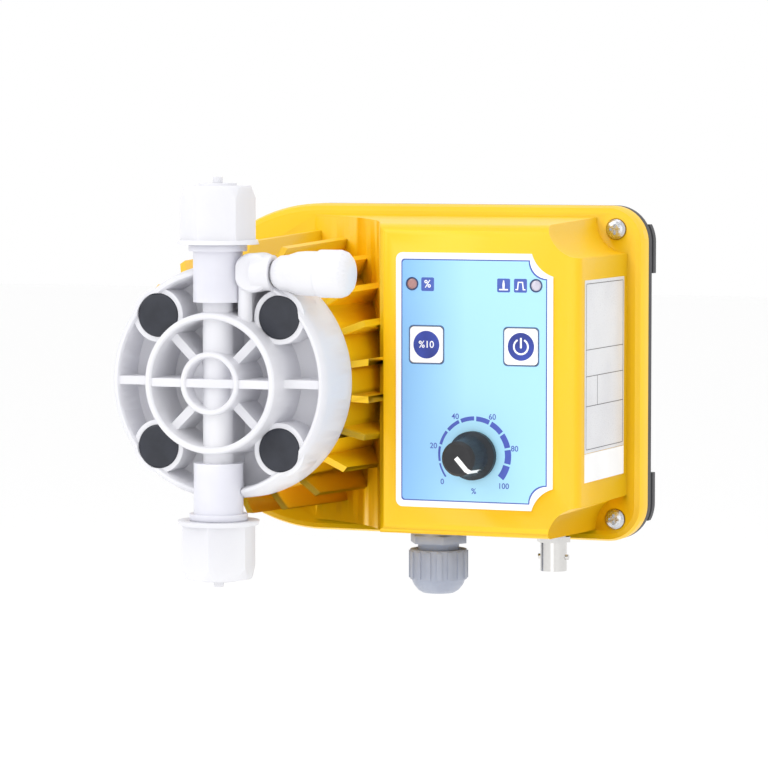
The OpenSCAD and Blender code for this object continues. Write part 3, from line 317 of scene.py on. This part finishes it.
nodeFinishes = {
    "casingYellow": ["front_casing"],
    "plateGrey": ["back_plate", "wall_pads"],
    "sealRubber": ["casing_seal", "delivery_seal", "suction_seal", "delivery_seat", "suction_seat",
                   "gland_bush", "diaphragm", "diaphragm_centre"],
    "stainless": ["casing_screws", "board_screws", "head_bolts", "return_spring"],
    "labelFoil": ["rating_label"],
    "labelWhite": ["serial_label"],
    "filmWhite": ["panel_overlay"],
    "keyWhite": ["percent_key", "power_key"],
    "lensRed": ["percent_lamp"],
    "lensClear": ["signal_lamp"],
    "boardGreen": ["control_board"],
    "switchBlack": ["percent_switch", "power_switch"],
    "zincPlate": ["rate_potentiometer", "solenoid_yoke"],
    "machinedSteel": ["potentiometer_shaft", "armature", "solenoid_core"],
    "knobBlack": ["rate_knob"],
    "pointerWhite": ["knob_pointer"],
    "copper": ["solenoid_coil"],
    "headWhite": ["pump_head", "delivery_nut", "suction_nut", "delivery_nipple", "suction_nipple", "bleed_stem",
                  "bleed_knob", "bleed_seal"],
    "capBlack": ["bolt_caps"],
    "valveMilky": ["delivery_valve_body", "suction_valve_body"],
    "ceramicWhite": ["delivery_ball", "suction_ball", "bnc_insulator"],
    "glandGrey": ["gland_body", "gland_locknut", "gland_cap"],
    "nickelPlate": ["bnc_shell", "bnc_nut"],
    "goldPlate": ["bnc_contact"],
}


def dressNodes():
    for finish, members in nodeFinishes.items():
        for member in members:
            slots = nodes[member].material_slots
            for slot in slots:
                slot.material = finishes[finish]


# Modelling helpers

def deselectAll():
    if bpy.context.object and bpy.context.object.mode != "OBJECT":
        bpy.ops.object.mode_set(mode="OBJECT")
    bpy.ops.object.select_all(action="DESELECT")


def takeUp(piece):
    # Makes a piece the only selected one and the active one
    deselectAll()
    piece.select_set(True)
    bpy.context.view_layer.objects.active = piece


def settle(piece):
    # Puts the piece's place into its mesh, so its object sits at the origin
    takeUp(piece)
    bpy.ops.object.transform_apply(location=True, rotation=True, scale=True)


def handOver(piece, name, finish, body, smoothAngle=35, replaced=None):
    settle(piece)
    piece.name = name
    piece.data.name = name
    piece.data.materials.clear()
    piece.data.materials.append(finishes[finish])
    bpy.ops.object.shade_smooth_by_angle(angle=math.radians(smoothAngle))
    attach(piece, body)
    if replaced:
        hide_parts(*replaced)
    return piece


def softened(node, bevelWidth, segments=2, sharpAngle=28):
    # A copy of a CAD node, its triangles joined into whole faces and its edges rounded as a mould leaves them
    source = nodes[node]
    copy = bpy.data.objects.new(node + "_soft", source.data.copy())
    bpy.context.scene.collection.objects.link(copy)
    takeUp(copy)
    bpy.ops.object.mode_set(mode="EDIT")
    bpy.ops.mesh.select_all(action="SELECT")
    bpy.ops.mesh.remove_doubles(threshold=0.00001)
    bpy.ops.mesh.dissolve_limited(angle_limit=math.radians(0.5))
    bpy.ops.object.mode_set(mode="OBJECT")
    bpy.ops.object.modifier_add(type="BEVEL")
    bevel = copy.modifiers[-1]
    bevel.width = bevelWidth * millimetre
    bevel.segments = segments
    bevel.limit_method = "ANGLE"
    bevel.angle_limit = math.radians(sharpAngle)
    bevel.use_clamp_overlap = True
    bpy.ops.object.modifier_apply(modifier=bevel.name)
    return copy


# Panel print: thin layers of ink and film on the overlay's front, drawn flat in millimetres

inkThickness = 0.06
inkLayer = 0.05  # each layer of print stands this far in front of the one below

def arcPoints(centre, radius, start, end, steps):
    turns = [math.radians(start + (end - start) * i / steps) for i in range(steps + 1)]
    return [(centre[0] + radius * math.cos(t), centre[1] + radius * math.sin(t)) for t in turns]


def roundedBox(centre, width, height, radius, steps=5):
    corners = [(1, 1, 0), (-1, 1, 90), (-1, -1, 180), (1, -1, 270)]
    points = []
    for sideX, sideZ, start in corners:
        middle = (centre[0] + sideX * (width / 2 - radius), centre[1] + sideZ * (height / 2 - radius))
        points += arcPoints(middle, radius, start, start + 90, steps)
    return points


def notchedBox(left, right, top, cornerRadius, notchRadius, steps=8):
    # The sheet's outline: small round corners on the left, a hollow notch at both right corners
    return (arcPoints((right, -top), notchRadius, 180, 90, steps)
            + arcPoints((right, top), notchRadius, 270, 180, steps)
            + arcPoints((left + cornerRadius, top - cornerRadius), cornerRadius, 90, 180, steps)
            + arcPoints((left + cornerRadius, -top + cornerRadius), cornerRadius, 180, 270, steps))


def flatOutline(name, loops, thickness):
    # A filled outline in the XY plane, its later loops cut out of the first, raised to a thickness
    deselectAll()
    flat = bpy.data.curves.new(name, "CURVE")
    flat.dimensions = "2D"
    flat.fill_mode = "BOTH"
    flat.extrude = thickness / 2 * millimetre
    for loop in loops:
        spline = flat.splines.new("POLY")
        spline.points.add(len(loop) - 1)
        for point, (across, up) in zip(spline.points, loop):
            point.co = (across * millimetre, up * millimetre, 0, 1)
        spline.use_cyclic_u = True
    piece = bpy.data.objects.new(name, flat)
    bpy.context.scene.collection.objects.link(piece)
    return piece


def madeMesh(piece):
    # A curve or text object as a clean mesh, before it is put in its place
    takeUp(piece)
    bpy.ops.object.convert(target="MESH")
    piece = bpy.context.object
    bpy.ops.object.mode_set(mode="EDIT")
    bpy.ops.mesh.select_all(action="SELECT")
    bpy.ops.mesh.remove_doubles(threshold=0.000001)
    bpy.ops.mesh.normals_make_consistent(inside=False)
    bpy.ops.object.mode_set(mode="OBJECT")
    return piece


def stoodUp(piece, name, distance, finish, body, place=(0, 0), sideways=False):
    # Turns a flat piece to face the front, or the right side, at its distance from the origin
    piece = madeMesh(piece)
    if sideways:
        piece.location = (distance * millimetre, place[0] * millimetre, place[1] * millimetre)
        piece.rotation_euler = (math.radians(90), 0, math.radians(90))
    else:
        piece.location = (place[0] * millimetre, -distance * millimetre, place[1] * millimetre)
        piece.rotation_euler = (math.radians(90), 0, 0)
    return handOver(piece, name, finish, body)


def printed(name, loops, front, finish, body, thickness=inkThickness, sideways=False):
    piece = flatOutline(name, loops, thickness)
    return stoodUp(piece, name, front - thickness / 2, finish, body, sideways=sideways)


def lettered(name, words, place, height, front, finish, body, thickness=inkThickness):
    deselectAll()
    bpy.ops.object.text_add()
    text = bpy.context.object
    text.data.body = words
    text.data.size = height / 0.7 * millimetre
    text.data.align_x = "CENTER"
    text.data.align_y = "CENTER"
    text.data.extrude = thickness / 2 * millimetre
    text.data.offset = 0.012 * height * millimetre
    text.data.resolution_u = 4
    return stoodUp(text, name, front - thickness / 2, finish, body, place)


panelPrint = {
    "front": -panelLow.y / millimetre,
    "centre": (panelLow.x + panelHigh.x) / 2 / millimetre,
    "halfWidth": 27.9,
    "halfHeight": 43.7,
    "lineWidth": 0.42,
    "cornerRadius": 1.2,
    "notchRadius": 6.6,
    "lampHeight": 34.7,
    "lampShift": 23.7,
    "lampRadius": 1.9,
    "keyHeight": 12.8,
    "keyShift": 18.1,
    "keySize": (12.6, 13.0),
    "keySlack": 0.3,
    "keyGap": 0.35,
    "keyBorder": 1.1,
    "bushOpening": 5.2,
    "bushHeight": -26.7,
    "lampSlack": 0.1,
    "lampGap": 0.05,
    "lampRing": 0.5,
    "lampRingDepth": 0.16,
    "dialCentre": (0.4, -26.6),
}


def panelPoint(across, up):
    return (panelPrint["centre"] + across, up)


def makePanelPrint():
    look = panelPrint
    front = look["front"]
    left = look["centre"] - look["halfWidth"]
    right = look["centre"] + look["halfWidth"]
    line = look["lineWidth"]
    keyWidth, keyHeight = look["keySize"]
    openings = [arcPoints(panelPoint(side * look["lampShift"], look["lampHeight"]),
                          look["lampRadius"] + look["lampSlack"], 0, 345, 23) for side in (-1, 1)]
    openings += [roundedBox(panelPoint(side * look["keyShift"], look["keyHeight"]), keyWidth + look["keySlack"],
                            keyHeight + look["keySlack"], 0.6) for side in (-1, 1)]
    openings.append(arcPoints(panelPoint(0, look["bushHeight"]), look["bushOpening"], 0, 350, 35))
    outline = notchedBox(left, right, look["halfHeight"], look["cornerRadius"], look["notchRadius"])
    inside = notchedBox(left + line, right - line, look["halfHeight"] - line, look["cornerRadius"],
                        look["notchRadius"])
    printed("panel_outline", [outline] + openings, front + inkLayer, "inkBlue", "casing")
    printed("panel_field", [inside] + openings, front + 2 * inkLayer, "filmBlue", "casing")
    ink = front + 3 * inkLayer
    for name, side in (("percent", -1), ("power", 1)):
        keyMiddle = panelPoint(side * look["keyShift"], look["keyHeight"])
        printed(name + "_key_outline",
                [roundedBox(keyMiddle, keyWidth + look["keyBorder"], keyHeight + look["keyBorder"], 1.6),
                 roundedBox(keyMiddle, keyWidth + look["keyGap"], keyHeight + look["keyGap"], 1.4)],
                ink, "inkSlate", "casing")
        lampMiddle = panelPoint(side * look["lampShift"], look["lampHeight"])
        printed(name + "_lamp_ring", [arcPoints(lampMiddle, look["lampRadius"] + look["lampRing"], 0, 350, 35),
                                      arcPoints(lampMiddle, look["lampRadius"] + look["lampGap"], 0, 350, 35)],
                ink + 2 * inkLayer, "inkNavy", "casing", look["lampRingDepth"])


def makeDial():
    dial = {
        "outer": 14.0, "thin": 0.5, "thick": 2.7, "segments": 10, "start": 218, "step": 25.8, "gap": 3.5,
        "numberHeight": 2.0,
        "numbers": [("0", (-12.4, -10.0)), ("20", (-15.8, 2.9)), ("40", (-7.4, 13.7)), ("60", (6.8, 13.9)),
                    ("80", (15.3, 2.7)), ("100", (11.1, -10.9)), ("%", (-0.3, -13.1))],
    }
    middle = panelPoint(*panelPrint["dialCentre"])
    ink = panelPrint["front"] + 3 * inkLayer
    for i in range(dial["segments"]):
        start = dial["start"] - i * dial["step"] - dial["gap"] / 2
        end = start - dial["step"] + dial["gap"]
        growth = (dial["thick"] - dial["thin"]) / dial["segments"]
        depthStart = dial["thin"] + i * growth
        outer = arcPoints(middle, dial["outer"], start, end, 8)
        inner = arcPoints(middle, dial["outer"] - depthStart - growth / 2, end, start, 8)
        printed("dial_segment_%02d" % (i + 1), [outer + inner], ink, "inkDial", "casing")
    for words, (across, up) in dial["numbers"]:
        label = words if words != "%" else "percent"
        lettered("dial_" + label, words, (middle[0] + across, middle[1] + up), dial["numberHeight"], ink,
                 "inkDial", "casing")


def makeIcons():
    icons = {"size": 4.9, "height": 34.6, "percent": -17.7, "level": 11.4, "pulse": 17.8, "stroke": 0.4}
    ink = panelPrint["front"] + 3 * inkLayer
    white = ink + inkLayer
    size = icons["size"]
    for name in ("percent", "level", "pulse"):
        printed(name + "_icon", [roundedBox(panelPoint(icons[name], icons["height"]), size, size, 0.5)], ink,
                "inkBlue", "casing")
    lettered("percent_icon_sign", "%", panelPoint(icons["percent"], icons["height"]), 2.7, white, "inkWhite",
             "casing")
    x, z = panelPoint(icons["level"], icons["height"])
    printed("level_icon_bar", [roundedBox((x, z - 1.5), 3.4, 0.5, 0.15)], white, "inkWhite", "casing")
    stem = [(-0.35, -1.25), (0.35, -1.25), (0.45, 0.3), (0.2, 1.8), (-0.2, 1.8), (-0.45, 0.3)]
    printed("level_icon_arrow", [[(x + across, z + up) for across, up in stem]], white, "inkWhite", "casing")
    x, z = panelPoint(icons["pulse"], icons["height"])
    low, high, half = -1.4, 1.2, icons["stroke"] / 2
    wave = [(-1.9, low + half), (-1.3, low + half), (-1.0, high + half), (1.0, high + half), (1.3, low + half),
            (1.9, low + half), (1.9, low - half), (0.9, low - half), (0.6, high - half), (-0.6, high - half),
            (-0.9, low - half), (-1.9, low - half)]
    printed("pulse_icon_wave", [[(x + across, z + up) for across, up in wave]], white, "inkWhite", "casing")


def makeKeyPrint():
    keyPrint = {"discRadius": 5.0, "signHeight": 2.5, "ringOuter": 3.0, "ringInner": 2.35,
                "ringSweep": (118, 422), "barRise": 1.3, "barSize": (0.7, 3.8)}
    keyFront = -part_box("percent_key")[0].y / millimetre
    ink = keyFront + inkLayer
    white = ink + inkLayer
    for name, side, body in (("percent", -1, "percent_button"), ("power", 1, "power_button")):
        middle = panelPoint(side * panelPrint["keyShift"], panelPrint["keyHeight"])
        disc = arcPoints(middle, keyPrint["discRadius"], 0, 354, 59)
        printed(name + "_key_disc", [disc], ink, "inkDeepBlue", body)
    lettered("percent_key_sign", "%10", panelPoint(-panelPrint["keyShift"], panelPrint["keyHeight"]),
             keyPrint["signHeight"], white, "inkWhite", "percent_button")
    middle = panelPoint(panelPrint["keyShift"], panelPrint["keyHeight"])
    start, end = keyPrint["ringSweep"]
    ring = (arcPoints(middle, keyPrint["ringOuter"], start, end, 30)
            + arcPoints(middle, keyPrint["ringInner"], end, start, 30))
    printed("power_key_ring", [ring], white, "inkWhite", "power_button")
    bar = roundedBox((middle[0], middle[1] + keyPrint["barRise"]), *keyPrint["barSize"], 0.3)
    printed("power_key_bar", [bar], white, "inkWhite", "power_button")


def makeLabels():
    # Bare labels: only the hairline frame and rules that such a label carries, at shares of its height
    labels = {"inset": 1.2, "line": 0.22, "rules": (0.4, 0.56, 0.74), "column": 0.3}
    low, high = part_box("rating_label")
    face = high.x / millimetre + inkLayer
    back, front = high.y / millimetre - labels["inset"], low.y / millimetre + labels["inset"]
    bottom, top = low.z / millimetre + labels["inset"], high.z / millimetre - labels["inset"]
    line = labels["line"]
    middle = ((back + front) / 2, (bottom + top) / 2)
    width, height = back - front, top - bottom
    printed("label_frame", [roundedBox(middle, width, height, 0.8),
                            roundedBox(middle, width - 2 * line, height - 2 * line, 0.6)],
            face, "labelInk", "casing", sideways=True)
    for i, share in enumerate(labels["rules"]):
        up = top - share * height
        printed("label_rule_%d" % (i + 1), [[(front, up), (back, up), (back, up + line), (front, up + line)]],
                face, "labelInk", "casing", sideways=True)
    across = front + labels["column"] * width
    high, low = [top - share * height for share in labels["rules"][1:]]
    printed("label_column", [[(across, low + line), (across + line, low + line), (across + line, high),
                              (across, high)]], face, "labelInk", "casing", sideways=True)


# The knob's pointer: one white stroke over the front face and down the side of the grip

def makePointer():
    pointer = {"angle": 48, "width": 1.7, "proud": 0.06, "depth": 0.5}
    low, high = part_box("rate_knob")
    middle = ((low.x + high.x) / 2, 0, (low.z + high.z) / 2)
    front = low.y / millimetre - pointer["proud"]
    lift = pointer["proud"]
    outer = [(-0.6, front), (5.2 + lift, front), (6.3 + lift, front + 1.4), (6.6 + lift, front + 9.6),
             (7.0 + lift, front + 11.8)]
    inner = [(across - pointer["depth"], depth + pointer["depth"] * 0.8) for across, depth in reversed(outer)]
    inner[-1] = (-0.6, front + pointer["depth"])
    piece = madeMesh(flatOutline("pointer_stroke", [outer + inner], pointer["width"]))
    piece.location = middle
    piece.rotation_euler = (0, math.radians(pointer["angle"]), 0)
    handOver(piece, "pointer_stroke", "pointerWhite", "rate_control", replaced=["knob_pointer"])


def softenNodes():
    # node, edge radius in millimetres, body
    soft = [
        ("front_casing", 0.6, "casing"),
        ("pump_head", 0.45, "casing"),
        ("delivery_nut", 0.5, "casing"),
        ("suction_nut", 0.5, "casing"),
        ("gland_cap", 0.3, "casing"),
        ("gland_body", 0.3, "casing"),
        ("back_plate", 0.5, "casing"),
        ("delivery_valve_body", 0.35, "casing"),
        ("suction_valve_body", 0.35, "casing"),
        ("rate_knob", 0.3, "rate_control"),
        ("bleed_knob", 0.4, "bleed_handle"),
        ("bolt_caps", 0.3, "casing"),
    ]
    finishOf = {member: finish for finish, members in nodeFinishes.items() for member in members}
    for node, radius, body in soft:
        copy = softened(node, radius)
        handOver(copy, node + "_moulded", finishOf[node], body, replaced=[node])
        print("softened", node, len(copy.data.polygons), "faces")


makeCamera()
makeStudio()
dressNodes()
print("camera, light and finishes ready")
softenNodes()
makePanelPrint()
makeDial()
makeIcons()
makeKeyPrint()
makeLabels()
makePointer()
print("panel print and pointer done")
